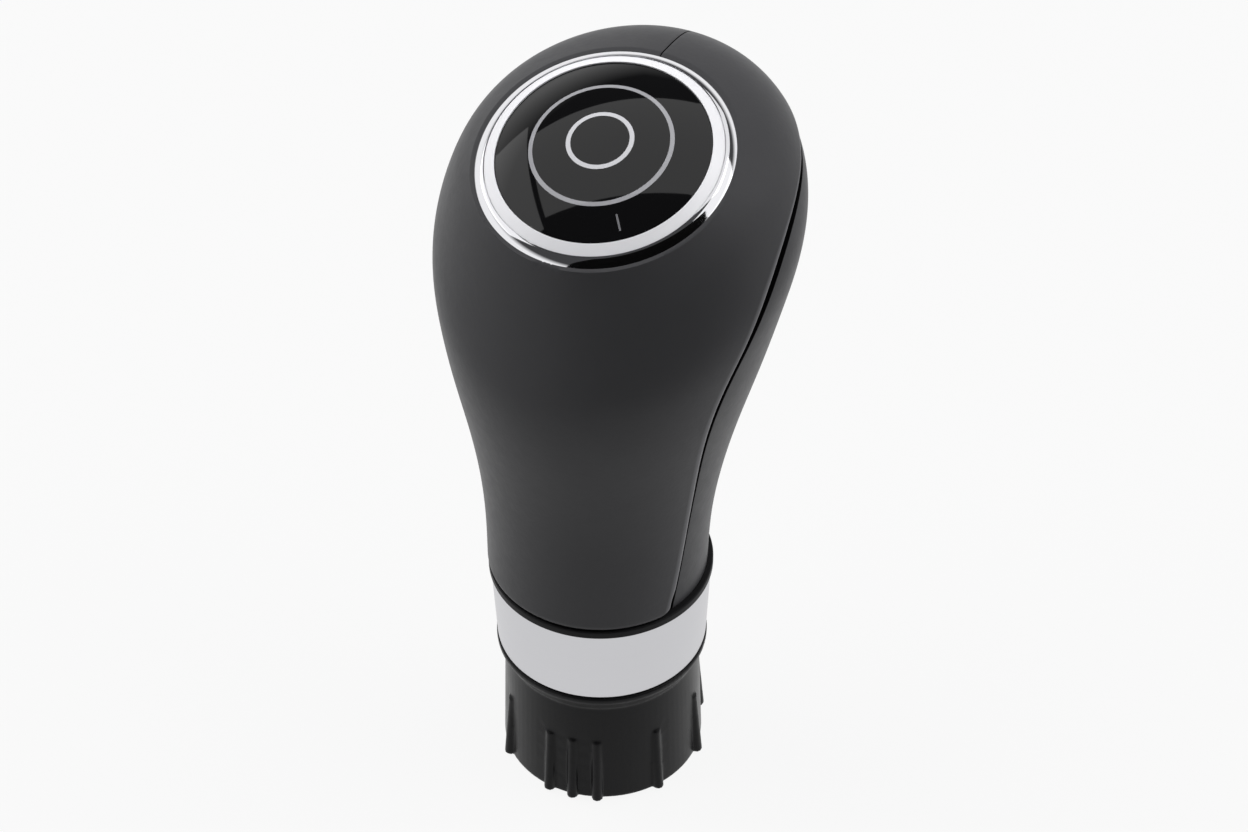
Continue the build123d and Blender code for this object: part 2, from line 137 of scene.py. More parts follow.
class KnobLeather(bpy.types.PropertyGroup):
    """Sizes and colour of the leather."""

    color: bpy.props.FloatVectorProperty(
        name="Leather", description="Colour of the dyed leather", subtype="COLOR",
        size=3, min=0, max=1, default=linear("#3b3b3d"),
    )
    # Painted highlight: the lighter colour laid along the front panel's rolled edges
    edge_highlight_color: bpy.props.FloatVectorProperty(
        name="Edge highlight", description="Colour of the leather on its tight edges", subtype="COLOR",
        size=3, min=0, max=1, default=linear("#6c6c6f"),
    )
    # Edge paint on the cut edges, near black, which also stands in as painted shade in the seam
    edge_paint_and_shade_color: bpy.props.FloatVectorProperty(
        name="Edge paint", description="Colour on the leather's cut edges", subtype="COLOR",
        size=3, min=0, max=1, default=linear("#0c0c0d"),
    )
    front_thickness: bpy.props.FloatProperty(
        name="Front thickness", description="Thickness of the front panel",
        unit="LENGTH", default=0.85 * MM,
    )
    rear_thickness: bpy.props.FloatProperty(
        name="Rear thickness", description="Thickness of the rear panel", unit="LENGTH", default=1.8 * MM,
    )
    rear_recess: bpy.props.FloatProperty(
        name="Rear recess", description="Step from the front panel down to the rear one",
        unit="LENGTH", default=0.4 * MM,
    )
    rear_neck_recess: bpy.props.FloatProperty(
        name="Rear neck recess", description="The same step at the hem", unit="LENGTH", default=1.0 * MM,
    )
    rear_lift: bpy.props.FloatProperty(
        name="Rear lift", description="Height of the rear panel above the hem",
        unit="LENGTH", default=0.2 * MM,
    )
    front_edge: bpy.props.FloatProperty(
        name="Front edge", description="Rounding of the front panel's cut edges",
        unit="LENGTH", default=0.2 * MM,
    )
    rear_edge: bpy.props.FloatProperty(
        name="Rear edge", description="Rounding of the rear panel's cut edges",
        unit="LENGTH", default=0.4 * MM,
    )
    hem_roll: bpy.props.FloatProperty(
        name="Hem roll", description="Radius of the front panel's rolled hem",
        unit="LENGTH", default=1.3 * MM,
    )
    seam_roll: bpy.props.FloatProperty(
        name="Seam roll", description="Radius of the front panel's edge along the seam",
        unit="LENGTH", default=0.9 * MM,
    )
    tuck: bpy.props.FloatProperty(
        name="Tuck", description="Width of the leather that runs in under the badge",
        unit="LENGTH", default=1.9 * MM,
    )
    corner: bpy.props.FloatProperty(
        name="Corner", description="Radius of the front panel's lower corners",
        unit="LENGTH", default=2.0 * MM,
    )
    seam_gap: bpy.props.FloatProperty(
        name="Seam gap", description="Gap between the front and rear panels",
        unit="LENGTH", default=0.85 * MM,
    )
    neck_gap: bpy.props.FloatProperty(
        name="Neck gap", description="What the gap widens by down to the hem",
        unit="LENGTH", default=0.5 * MM,
    )
    front_gap: bpy.props.FloatProperty(
        name="Front gap", description="The gap's share in front of the seam line",
        unit="LENGTH", default=0.3 * MM,
    )
    crown_gap: bpy.props.FloatProperty(
        name="Crown gap", description="Gap between the wings behind the badge",
        unit="LENGTH", default=0.2 * MM,
    )
    grain: bpy.props.FloatProperty(
        name="Grain", description="Width of one pebble of the grain", unit="LENGTH", default=0.6 * MM,
    )


class KnobBadge(bpy.types.PropertyGroup):
    """Sizes and colours of the badge."""

    lens_color: bpy.props.FloatVectorProperty(
        name="Lens", description="Colour under the clear dome", subtype="COLOR",
        size=3, min=0, max=1, default=linear("#070708"),
    )
    print_color: bpy.props.FloatVectorProperty(
        name="Print", description="Colour of the small printed ring", subtype="COLOR",
        size=3, min=0, max=1, default=linear("#c3c3c7"),
    )
    pale_print: bpy.props.FloatVectorProperty(
        name="Faint print", description="Colour of the large ring and the index line", subtype="COLOR",
        size=3, min=0, max=1, default=linear("#9a9a9e"),
    )
    outer_ring: bpy.props.FloatProperty(
        name="Outer ring", description="Radius of the large printed ring",
        unit="LENGTH", default=9.9 * MM,
    )
    outer_line: bpy.props.FloatProperty(
        name="Outer line", description="Line width of the large printed ring",
        unit="LENGTH", default=0.6 * MM,
    )
    inner_ring: bpy.props.FloatProperty(
        name="Inner ring", description="Radius of the small printed ring",
        unit="LENGTH", default=4.45 * MM,
    )
    inner_line: bpy.props.FloatProperty(
        name="Inner line", description="Line width of the small printed ring",
        unit="LENGTH", default=0.65 * MM,
    )
    index_start: bpy.props.FloatProperty(
        name="Index start", description="Radius where the index line begins",
        unit="LENGTH", default=11.7 * MM,
    )
    index_end: bpy.props.FloatProperty(
        name="Index end", description="Radius where the index line ends",
        unit="LENGTH", default=14.0 * MM,
    )
    index_width: bpy.props.FloatProperty(
        name="Index width", description="Width of the index line", unit="LENGTH", default=0.28 * MM,
    )
    index_print: bpy.props.FloatProperty(
        name="Index print", description="How densely the index line is printed", subtype="FACTOR",
        min=0, max=1, default=0.5,
    )
    index_turn: bpy.props.FloatProperty(
        name="Index turn", description="Place of the index line, from the front to the right",
        subtype="ANGLE", default=math.radians(35.5),
    )
    turning_steps: bpy.props.IntProperty(
        name="Turning steps", description="Segments of each turned ring", default=192, min=24,
    )


class KnobTrim(bpy.types.PropertyGroup):
    """Sizes and colours of the sleeve, the neck ring and the collar."""

    sleeve_color: bpy.props.FloatVectorProperty(
        name="Sleeve", description="Colour of the satin metal", subtype="COLOR",
        size=3, min=0, max=1, default=linear("#cfcfd2"),
    )
    plastic_color: bpy.props.FloatVectorProperty(
        name="Plastic", description="Colour of the moulded black plastic", subtype="COLOR",
        size=3, min=0, max=1, default=linear("#19191a"),
    )
    ring_color: bpy.props.FloatVectorProperty(
        name="Neck ring", description="Colour of the black ring over the sleeve", subtype="COLOR",
        size=3, min=0, max=1, default=linear("#1b1b1c"),
    )
    edge: bpy.props.FloatProperty(
        name="Edge", description="Width of the broken edges", unit="LENGTH", default=0.25 * MM,
    )
    collar_step: bpy.props.FloatProperty(
        name="Collar mesh step", description="Edge length of the collar's mesh",
        unit="LENGTH", default=0.3 * MM,
    )


class KnobStage(bpy.types.PropertyGroup):
    """The camera's place and the level of the studio's light."""

    azimuth: bpy.props.FloatProperty(
        name="Azimuth", description="Turn of the camera to the right",
        subtype="ANGLE", default=math.radians(27),
    )
    elevation: bpy.props.FloatProperty(
        name="Elevation", description="Camera's angle above the floor",
        subtype="ANGLE", default=math.radians(41.5),
    )
    roll: bpy.props.FloatProperty(
        name="Roll", description="Turn about the line of sight",
        subtype="ANGLE", default=math.radians(-0.3),
    )
    distance: bpy.props.FloatProperty(
        name="Distance", description="From the camera to its aim", unit="LENGTH", default=0.4,
    )
    aim_height: bpy.props.FloatProperty(
        name="Aim height", description="Height of the point in the picture's middle",
        unit="LENGTH", default=67.8 * MM,
    )
    aim_right: bpy.props.FloatProperty(
        name="Aim offset", description="That point's distance right of the axis",
        unit="LENGTH", default=3.7 * MM,
    )


def deselect():
    """Object mode with nothing selected."""
    if bpy.context.object and bpy.context.object.mode != "OBJECT":
        bpy.ops.object.mode_set(mode="OBJECT")
    bpy.ops.object.select_all(action="DESELECT")


def make_active(piece):
    """Selects one piece alone."""
    deselect()
    piece.select_set(True)
    bpy.context.view_layer.objects.active = piece


def apply_modifier(piece, kind, **settings):
    """Adds a modifier with its settings and applies it."""
    make_active(piece)
    modifier = piece.modifiers.new(kind.title(), kind)
    for key, value in settings.items():
        setattr(modifier, key, value)
    bpy.ops.object.modifier_apply(modifier=modifier.name)


def metres(profile):
    """Profile in metres from one in millimetres."""
    return [(radius * MM, height * MM) for radius, height in profile]


def turned(name, profile, steps):
    """Ring turned about Z from a closed profile of (radius, height) points."""
    deselect()
    bpy.ops.mesh.primitive_plane_add(size=MM, location=(0, 0, 0))
    piece = bpy.context.object
    piece.name = name
    piece.data.name = name
    bpy.ops.object.mode_set(mode="EDIT")
    bpy.ops.mesh.select_all(action="SELECT")
    bpy.ops.mesh.merge(type="CENTER")
    bpy.ops.transform.translate(value=(profile[0][0], 0, profile[0][1]))
    for here, there in zip(profile, profile[1:] + profile[:1]):
        step = (there[0] - here[0], 0, there[1] - here[1])
        bpy.ops.mesh.extrude_vertices_move(TRANSFORM_OT_translate={"value": step})
    bpy.ops.mesh.select_all(action="SELECT")
    bpy.ops.mesh.remove_doubles(threshold=0.001 * MM)
    bpy.ops.mesh.spin(steps=steps, angle=2 * math.pi, center=(0, 0, 0), axis=(0, 0, 1))
    bpy.ops.mesh.select_all(action="SELECT")
    bpy.ops.mesh.remove_doubles(threshold=0.001 * MM)
    bpy.ops.mesh.normals_make_consistent(inside=False)
    bpy.ops.object.mode_set(mode="OBJECT")
    return piece


def shade(piece):
    """Smooth shading that keeps the sharp edges crisp."""
    make_active(piece)
    bpy.ops.object.shade_smooth_by_angle(angle=math.radians(40))


def break_edges(piece, width, segments):
    """Rounds the sharp edges of a turned piece and evens its shading."""
    apply_modifier(
        piece, "BEVEL", width=width, segments=segments, limit_method="ANGLE", angle_limit=math.radians(14),
    )
    shade(piece)
    apply_modifier(piece, "WEIGHTED_NORMAL", keep_sharp=True, weight=80)


def on_badge(piece):
    """Moves a piece from the origin to the badge's seat."""
    piece.rotation_euler = (BADGE_TILT, 0, 0)
    piece.location = SEAT_CENTRE
    make_active(piece)
    bpy.ops.object.transform_apply(location=True, rotation=True, scale=True)


def finish_piece(piece, material, slot, body, *nodes):
    """Gives a piece its material, if it has none yet, hangs it on its body and hides the solids that it
    stands for.
    """
    if material:
        piece.data.materials.clear()
        piece.data.materials.append(material)
    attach(piece, body)
    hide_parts(*nodes)


def merged_copy(node, name):
    """Copy of a solid's mesh with its loose triangles merged."""
    piece = bpy.data.objects.new(name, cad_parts[node].data.copy())
    piece.data.name = name
    bpy.context.scene.collection.objects.link(piece)
    make_active(piece)
    bpy.ops.object.mode_set(mode="EDIT")
    bpy.ops.mesh.select_all(action="SELECT")
    bpy.ops.mesh.remove_doubles(threshold=0.002 * MM)
    bpy.ops.object.mode_set(mode="OBJECT")
    return piece


def soften(piece, step, rounds):
    """Even mesh that keeps the piece's edges in line, with those edges then rounded."""
    depth = 8
    scale = max(piece.dimensions) / (2**depth * step)
    apply_modifier(piece, "REMESH", mode="SHARP", octree_depth=depth, scale=scale)
    apply_modifier(piece, "SMOOTH", factor=0.5, iterations=rounds)


def rounded(distance, radius):
    """Depth of a round of this radius at a distance from its edge."""
    return radius - np.sqrt(radius**2 - np.clip(radius - distance, 0, radius)**2)


def ease(t):
    """Smooth step from 0 to 1."""
    return t * t * (3 - 2 * t)


def curve_through(knots, values):
    """Natural cubic curve through values at their knots, as a function of the distance along the knots."""
    knots, values = np.array(knots, float), np.array(values, float)
    gaps = np.diff(knots)
    links = np.diag(2 * (gaps[:-1] + gaps[1:])) + np.diag(gaps[1:-1], 1) + np.diag(gaps[1:-1], -1)
    bend = np.zeros(len(knots))
    bend[1:-1] = np.linalg.solve(links, 6 * np.diff(np.diff(values) / gaps))

    def at(u):
        i = np.clip(np.searchsorted(knots, u) - 1, 0, len(gaps) - 1)
        a = (knots[i + 1] - u) / gaps[i]
        b = 1 - a
        swing = (a**3 - a) * bend[i] + (b**3 - b) * bend[i + 1]
        return a * values[i] + b * values[i + 1] + swing * gaps[i]**2 / 6

    return at


class HeadSkin:
    """The head's surface in millimetres: u runs up from the hem, theta round from the back."""

    def __init__(self, inset, neck_inset):
        rows = []
        for step in range(7):
            t = step / 6
            radius = NECK_RADIUS + (HEAD_RADIUS - NECK_RADIUS) * ease(t**NECK_SWELL)
            depth = radius * (1 + (DEPTH_RATIO - 1) * ease(t))
            shrink = neck_inset + (inset - neck_inset) * ease(t)
            rows.append((
                HEAD_SETBACK * t**NECK_LEAN, HEM + HEAD_RISE * t, BADGE_TILT * t**NECK_TURN,
                depth - shrink, radius - shrink,
            ))
        for angle in (30, 60, 90):
            level = max(math.cos(math.radians(angle)), 0)
            rise, spread = math.sin(math.radians(angle))**CROWN_SHARPNESS, level**CROWN_SHARPNESS
            radius = SEAT_RADIUS + (HEAD_RADIUS - SEAT_RADIUS) * spread
            depth = radius * (1 + (DEPTH_RATIO - 1) * level)
            setback = HEAD_SETBACK + (SEAT_SETBACK - HEAD_SETBACK) * rise
            setback += CROWN_FULLNESS * math.sin(math.radians(2 * angle))
            rows.append((
                setback + inset * rise * math.sin(BADGE_TILT),
                HEM + HEAD_RISE + CROWN_RISE * rise - inset * rise * math.cos(BADGE_TILT),
                BADGE_TILT, depth - inset * spread, radius - inset * spread,
            ))
        rows = np.array(rows)
        knots = np.concatenate(([0], np.cumsum(np.hypot(np.diff(rows[:, 1]), np.diff(rows[:, 4])))))
        self.top = knots[-1]
        self.setback, self.height, self.lean, self.depth, self.width = (
            curve_through(knots, column) for column in rows.T
        )

    def point(self, u, theta):
        """Point of the surface, on the side of positive X; past the top it runs flat to the middle."""
        inset = np.maximum(u - self.top, 0)
        u = np.minimum(u, self.top)
        along = (self.depth(u) - inset) * np.cos(theta)
        across = (self.width(u) - inset) * np.sin(theta)
        lean = self.lean(u)
        return np.stack((
            across, self.setback(u) + along * np.cos(lean), self.height(u) + along * np.sin(lean),
        ), -1)

    def outwards(self, u, theta):
        """Direction away from the head at a point of the surface."""
        rise = self.point(u + 0.05, theta) - self.point(u - 0.05, theta)
        sweep = self.point(u, theta + 0.002) - self.point(u, theta - 0.002)
        normal = np.cross(rise, sweep)
        return normal / np.linalg.norm(normal, axis=-1, keepdims=True)

    def seam(self, shift, spacing):
        """Seam from the hem to the middle of the back, as (u, theta) at shares of its length.

        The shift moves it back, in millimetres.
        """
        spots = np.array([(HEAD_RADIUS * y + shift, HEM + (HEAD_RISE - shift) * z) for y, z in SEAM])
        knots = np.concatenate(([0], np.cumsum(np.hypot(*np.diff(spots, axis=0).T))))
        walk = np.linspace(0, knots[-1], SEAM_SAMPLES)
        spots = np.stack([curve_through(knots, column)(walk) for column in spots.T], -1)
        levels = np.linspace(0, self.top, SEAM_SAMPLES)
        lean, setback, height = self.lean(levels), self.setback(levels), self.height(levels)
        path = []
        for y, z in spots:
            above = (z - height) * np.cos(lean) - (y - setback) * np.sin(lean)
            u = np.interp(0, -above, levels)
            turn = self.lean(u)
            along = (y - self.setback(u)) * np.cos(turn) + (z - self.height(u)) * np.sin(turn)
            reach = along / self.depth(u)
            path.append((u, math.acos(max(-1, min(1, reach)))))
            if reach >= 1:
                break
        path = np.array(path)
        strides = np.linalg.norm(np.diff(self.point(*path.T), axis=0), axis=1)
        gone = np.concatenate(([0], np.cumsum(strides)))
        return np.stack([np.interp(spacing * gone[-1], gone, column) for column in path.T], -1)


def panel_from(name, points, edge_highlight):
    """Grid of faces shaped by a table of points in millimetres, mirrored to both sides of the lever axis.

    A second table says how strongly a painted highlight lightens the colour at each point.
    """
    rows, columns = points.shape[:2]
    deselect()
    bpy.ops.mesh.primitive_grid_add(x_subdivisions=columns - 1, y_subdivisions=rows - 1, size=1)
    panel = bpy.context.object
    panel.name = name
    panel.data.name = name
    for vertex, place in zip(panel.data.vertices, points.reshape(-1, 3)):
        vertex.co = Vector(place) * MM
    panel.data.attributes.new("edge_highlight", "FLOAT", "POINT").data.foreach_set("value", edge_highlight.ravel())
    apply_modifier(panel, "MIRROR", use_axis=(True, False, False), merge_threshold=0.01 * MM)
    make_active(panel)
    bpy.ops.object.mode_set(mode="EDIT")
    bpy.ops.mesh.select_all(action="SELECT")
    bpy.ops.mesh.normals_make_consistent(inside=False)
    bpy.ops.object.mode_set(mode="OBJECT")
    return panel


def skive(panel, thickness, edge):
    """Thickens a panel inwards, paints its cut edges near black, which also serves as painted shade in the
    seam, and rounds them.
    """
    for material in ("dyed_nappa_leather", "edge_paint_and_seam_shade"):
        panel.data.materials.append(bpy.data.materials[material])
    apply_modifier(
        panel, "SOLIDIFY", thickness=thickness, offset=-1, use_even_offset=True, material_offset_rim=1,
    )
    apply_modifier(
        panel, "BEVEL", width=edge, segments=4, limit_method="ANGLE", angle_limit=math.radians(50),
    )
    make_active(panel)
    bpy.ops.object.shade_smooth()


def add_node(tree, kind, inputs=None, **settings):
    """Adds a shader node, with its settings, and its inputs as values or as sockets to link."""
    node = tree.nodes.new(kind)
    for key, value in settings.items():
        setattr(node, key, value)
    for key, value in (inputs or {}).items():
        if isinstance(value, bpy.types.NodeSocket):
            tree.links.new(value, node.inputs[key])
        else:
            node.inputs[key].default_value = value
    return node


def empty_material(name):
    """Material with no nodes yet."""
    material = bpy.data.materials.new(name)
    material.use_nodes = True
    material.node_tree.nodes.clear()
    return material, material.node_tree


def new_material(name):
    """Material with a Principled shader on its output."""
    material, tree = empty_material(name)
    shader = add_node(tree, "ShaderNodeBsdfPrincipled")
    add_node(tree, "ShaderNodeOutputMaterial", {"Surface": shader.outputs["BSDF"]})
    return material, tree, shader


def rgba(color):
    """Colour with full opacity."""
    return (*color, 1)


def dyed_leather():
    """Smooth dyed leather: fine pebbled grain, dark, with a soft sheen, and a lighter colour painted on the
    turned edges as their highlight.
    """
    sizes = bpy.context.scene.knob_leather
    material, tree, shader = new_material("dyed_nappa_leather")
    place = add_node(tree, "ShaderNodeTexCoord").outputs["Object"]
    pebble = add_node(
        tree, "ShaderNodeTexVoronoi", {"Vector": place, "Scale": 1 / sizes.grain}, feature="SMOOTH_F1",
    )
    pores = add_node(tree, "ShaderNodeTexNoise", {"Vector": place, "Scale": 0.4 / sizes.grain, "Detail": 4})
    cloud = add_node(tree, "ShaderNodeTexNoise", {"Vector": place, "Scale": 1 / (14 * MM), "Detail": 3})
    relief = add_node(
        tree, "ShaderNodeMath", {0: pebble.outputs["Distance"], 1: pores.outputs["Fac"]}, operation="ADD",
    )
    bump = add_node(
        tree, "ShaderNodeBump", {"Height": relief.outputs[0], "Distance": 0.02 * MM, "Strength": 0.5},
    )
    tone = add_node(
        tree, "ShaderNodeMapRange", {"Value": cloud.outputs["Fac"], "To Min": 0.9, "To Max": 1.1},
    )
    dye = add_node(
        tree, "ShaderNodeMix", {"Factor": 1.0, 6: rgba(sizes.color), 7: tone.outputs[0]},
        data_type="RGBA", blend_type="MULTIPLY",
    )
    gloss = add_node(
        tree, "ShaderNodeMapRange", {"Value": pores.outputs["Fac"], "To Min": 0.36, "To Max": 0.48},
    )
    # Painted highlight: a lighter colour where the leather turns tightly over an edge, in place of the light
    # that edge catches
    edge_highlight = add_node(tree, "ShaderNodeAttribute", attribute_name="edge_highlight")
    dye = add_node(
        tree, "ShaderNodeMix",
        {"Factor": edge_highlight.outputs["Fac"], 6: dye.outputs[2], 7: rgba(sizes.edge_highlight_color)}, data_type="RGBA",
    )
    tree.links.new(dye.outputs[2], shader.inputs["Base Color"])
    tree.links.new(gloss.outputs[0], shader.inputs["Roughness"])
    tree.links.new(bump.outputs[0], shader.inputs["Normal"])
    shader.inputs["Specular IOR Level"].default_value = 0.17
    return material


def moulded_plastic(name, color, roughness, grit, shine=0.5):
    """Moulded plastic: an even satin skin with the fine spark texture of its mould.

    The grit is drawn coarser than the real one, so that it shows.
    """
    material, tree, shader = new_material(name)
    place = add_node(tree, "ShaderNodeTexCoord").outputs["Object"]
    spark = add_node(
        tree, "ShaderNodeTexNoise", {"Vector": place, "Scale": 1 / grit, "Detail": 3, "Roughness": 0.6},
    )
    cloud = add_node(tree, "ShaderNodeTexNoise", {"Vector": place, "Scale": 1 / (6 * MM), "Detail": 2})
    bump = add_node(
        tree, "ShaderNodeBump", {"Height": spark.outputs["Fac"], "Distance": 0.02 * MM, "Strength": 0.4},
    )
    gloss = add_node(
        tree, "ShaderNodeMapRange",
        {"Value": cloud.outputs["Fac"], "To Min": roughness - 0.06, "To Max": roughness + 0.06},
    )
    shader.inputs["Base Color"].default_value = rgba(color)
    shader.inputs["Specular IOR Level"].default_value = shine
    tree.links.new(gloss.outputs[0], shader.inputs["Roughness"])
    tree.links.new(bump.outputs[0], shader.inputs["Normal"])
    return material


def about_axis(tree, place, tilt, centre):
    """Place as seen from a turned piece's axis: across it as a vector, away from it and along it."""
    local = add_node(
        tree, "ShaderNodeMapping",
        {"Vector": place, "Location": centre, "Rotation": (tilt, 0, 0)}, vector_type="TEXTURE",
    )
    parts = add_node(tree, "ShaderNodeSeparateXYZ", {0: local.outputs[0]})
    flat = add_node(tree, "ShaderNodeCombineXYZ", {"X": parts.outputs["X"], "Y": parts.outputs["Y"]})
    radius = add_node(tree, "ShaderNodeVectorMath", {0: flat.outputs[0]}, operation="LENGTH")
    return flat.outputs[0], radius.outputs["Value"], parts.outputs["Z"]


def turned_metal(name, color, roughness, line, tilt, centre, depth):
    """Metal with fine turning lines round its axis, which draw out its reflections.

    The lines are drawn wider than the real ones, so that they show.
    """
    material, tree, shader = new_material(name)
    place = add_node(tree, "ShaderNodeTexCoord").outputs["Object"]
    _, radius, height = about_axis(tree, place, tilt, centre)
    lines = add_node(tree, "ShaderNodeCombineXYZ", {"X": radius, "Z": height})
    hair = add_node(
        tree, "ShaderNodeTexNoise", {"Vector": lines.outputs[0], "Scale": 1 / line, "Detail": 2},
    )
    bump = add_node(
        tree, "ShaderNodeBump", {"Height": hair.outputs["Fac"], "Distance": depth, "Strength": 0.5},
    )
    gloss = add_node(
        tree, "ShaderNodeMapRange",
        {"Value": hair.outputs["Fac"], "To Min": 0.8 * roughness, "To Max": 1.2 * roughness},
    )
    shader.inputs["Base Color"].default_value = rgba(color)
    shader.inputs["Metallic"].default_value = 1
    tree.links.new(gloss.outputs[0], shader.inputs["Roughness"])
    tree.links.new(bump.outputs[0], shader.inputs["Normal"])
    return material


def printed_lens():
    """Clear domed resin over black, printed underneath with two plain rings and an index line."""
    sizes = bpy.context.scene.knob_badge
    material, tree, shader = new_material("gloss_resin_lens")
    place = add_node(tree, "ShaderNodeTexCoord").outputs["Object"]
    flat, radius, _ = about_axis(tree, place, BADGE_TILT, SEAT_CENTRE)
    rings = [
        add_node(tree, "ShaderNodeMath", {0: radius, 1: ring, 2: line / 2}, operation="COMPARE").outputs[0]
        for ring, line in ((sizes.outer_ring, sizes.outer_line), (sizes.inner_ring, sizes.inner_line))
    ]
    sine, cosine = math.sin(sizes.index_turn), math.cos(sizes.index_turn)
    along, aside = (
        add_node(tree, "ShaderNodeVectorMath", {0: flat, 1: way}, operation="DOT_PRODUCT").outputs["Value"]
        for way in ((sine, -cosine, 0), (cosine, sine, 0))
    )
    middle, reach = (sizes.index_start + sizes.index_end) / 2, (sizes.index_end - sizes.index_start) / 2
    length = add_node(tree, "ShaderNodeMath", {0: along, 1: middle, 2: reach}, operation="COMPARE")
    width = add_node(tree, "ShaderNodeMath", {0: aside, 1: 0, 2: sizes.index_width / 2}, operation="COMPARE")
    index = add_node(
        tree, "ShaderNodeMath", {0: length.outputs[0], 1: width.outputs[0]}, operation="MULTIPLY",
    )
    index = add_node(
        tree, "ShaderNodeMath", {0: index.outputs[0], 1: sizes.index_print}, operation="MULTIPLY",
    )
    faint = add_node(tree, "ShaderNodeMath", {0: rings[0], 1: index.outputs[0]}, operation="MAXIMUM")
    color = add_node(
        tree, "ShaderNodeMix",
        {"Factor": faint.outputs[0], 6: rgba(sizes.lens_color), 7: rgba(sizes.pale_print)},
        data_type="RGBA",
    )
    color = add_node(
        tree, "ShaderNodeMix",
        {"Factor": rings[1], 6: color.outputs[2], 7: rgba(sizes.print_color)}, data_type="RGBA",
    )
    smear = add_node(tree, "ShaderNodeTexNoise", {"Vector": place, "Scale": 1 / (5 * MM), "Detail": 2})
    gloss = add_node(
        tree, "ShaderNodeMapRange", {"Value": smear.outputs["Fac"], "To Min": 0.02, "To Max": 0.05},
    )
    tree.links.new(color.outputs[2], shader.inputs["Base Color"])
    tree.links.new(gloss.outputs[0], shader.inputs["Roughness"])
    return material


class KNOB_OT_front_leather(bpy.types.Operator):
    """Front panel of the leather, with soft edges and a closed seam behind the badge"""

    bl_idname = "knob.front_leather"
    bl_label = "Front leather"

    def execute(self, context):
        sizes = context.scene.knob_leather
        skin = HeadSkin(0, 0)
        hem, tuck, corner = sizes.hem_roll / MM, sizes.tuck / MM, sizes.corner / MM
        # The rows start at the hem, closer together round the lower corner
        close_rows = CORNER_SHARE * (1 - np.cos(np.linspace(0, np.pi / 2, CORNER_ROWS)[:-1]))
        spacing = np.concatenate((close_rows, np.linspace(CORNER_SHARE, 1, SEAM_ROWS)))
        seam = skin.seam(-sizes.front_gap / MM, spacing)
        # Each row runs from the seam to the front's middle line, and higher up to the edge under the badge
        rise = np.minimum(spacing / FRONT_SHARE, 1)
        way = np.minimum((1 - spacing) / (1 - FRONT_SHARE), 1)
        brink = np.stack((skin.top * rise, (np.pi - tuck / SEAT_RADIUS) * way), -1)
        goal = np.stack(((skin.top + tuck) * rise, np.pi * way), -1)
        across = np.linspace(0, 1, ACROSS_COLUMNS)[:, None]**COLUMN_POWER
        under = np.linspace(0, 1, UNDER_COLUMNS)[1:, None]
        grid = np.concatenate((
            seam[:, None] * (1 - across) + brink[:, None] * across,
            brink[:, None] * (1 - under) + goal[:, None] * under,
        ), 1)
        u, theta = grid[..., 0], grid[..., 1]
        # The panel's lower corner is cut round, and the rows above it bend less and less
        inwards = NECK_RADIUS * (theta - theta[:1, :1])
        fade = np.maximum(1 - u / (2.5 * corner), 0)
        lifted = u + rounded(inwards, corner) * fade
        strides = np.linalg.norm(np.diff(skin.point(u, theta), axis=1), axis=2)
        inwards = np.concatenate((np.zeros((len(u), 1)), np.cumsum(strides, axis=1)), 1)
        roll = np.maximum(rounded(u, hem), rounded(inwards, sizes.seam_roll / MM))
        points = skin.point(lifted, theta) - roll[..., None] * skin.outwards(lifted, theta)
        points[-1, :, 0] = sizes.crown_gap / MM / 2
        # Painted highlight over the rolled edge, less and less behind it
        edge_highlight = np.clip(1.8 - inwards / (sizes.seam_roll / MM), 0, 1)
        panel = panel_from("front_panel", points, edge_highlight)
        dyed_leather()
        # Edge paint: matt and nearly black, so that the seam is a dark line; besides the real edge paint it
        # stands in as painted shade in the gap
        moulded_plastic("edge_paint_and_seam_shade", sizes.edge_paint_and_shade_color, roughness=0.6, grit=0.2 * MM, shine=0.1)
        skive(panel, sizes.front_thickness, sizes.front_edge)
        finish_piece(panel, None, "leather", "knob", "front_leather")
        return {"FINISHED"}


class KNOB_OT_rear_leather(bpy.types.Operator):
    """Rear panel of the leather, set back behind the front one"""

    bl_idname = "knob.rear_leather"
    bl_label = "Rear leather"

    def execute(self, context):
        sizes = context.scene.knob_leather
        skin = HeadSkin(sizes.rear_recess / MM, sizes.rear_neck_recess / MM)
        seam = skin.seam((sizes.seam_gap - sizes.front_gap) / MM, np.linspace(0, 1, REAR_ROWS))
        side, arch = seam[:REAR_SIDE_ROWS], seam[REAR_SIDE_ROWS - 1:]
        foot_shift = (sizes.rear_lift / MM, -sizes.neck_gap / MM / NECK_RADIUS)
        side = side + np.outer(np.linspace(1, 0, len(side))**2, foot_shift)
        rows = np.linspace(0, 1, len(side))[:, None, None]
        columns = np.linspace(0, 1, len(arch))[None, :, None]
        foot = side[0] * (1 - columns) + np.array((side[0, 0], 0)) * columns
        middle = np.array((side[0, 0], 0)) * (1 - rows) + arch[-1] * rows
        corners = (
            (1 - rows) * ((1 - columns) * side[0] + columns * np.array((side[0, 0], 0)))
            + rows * ((1 - columns) * side[-1] + columns * arch[-1])
        )
        grid = (1 - rows) * foot + rows * arch[None] + (1 - columns) * side[:, None]
        grid = grid + columns * middle - corners
        panel = panel_from("rear_panel", skin.point(grid[..., 0], grid[..., 1]), np.zeros(grid.shape[:2]))
        skive(panel, sizes.rear_thickness, sizes.rear_edge)
        finish_piece(panel, None, "leather", "knob", "rear_leather")
        return {"FINISHED"}


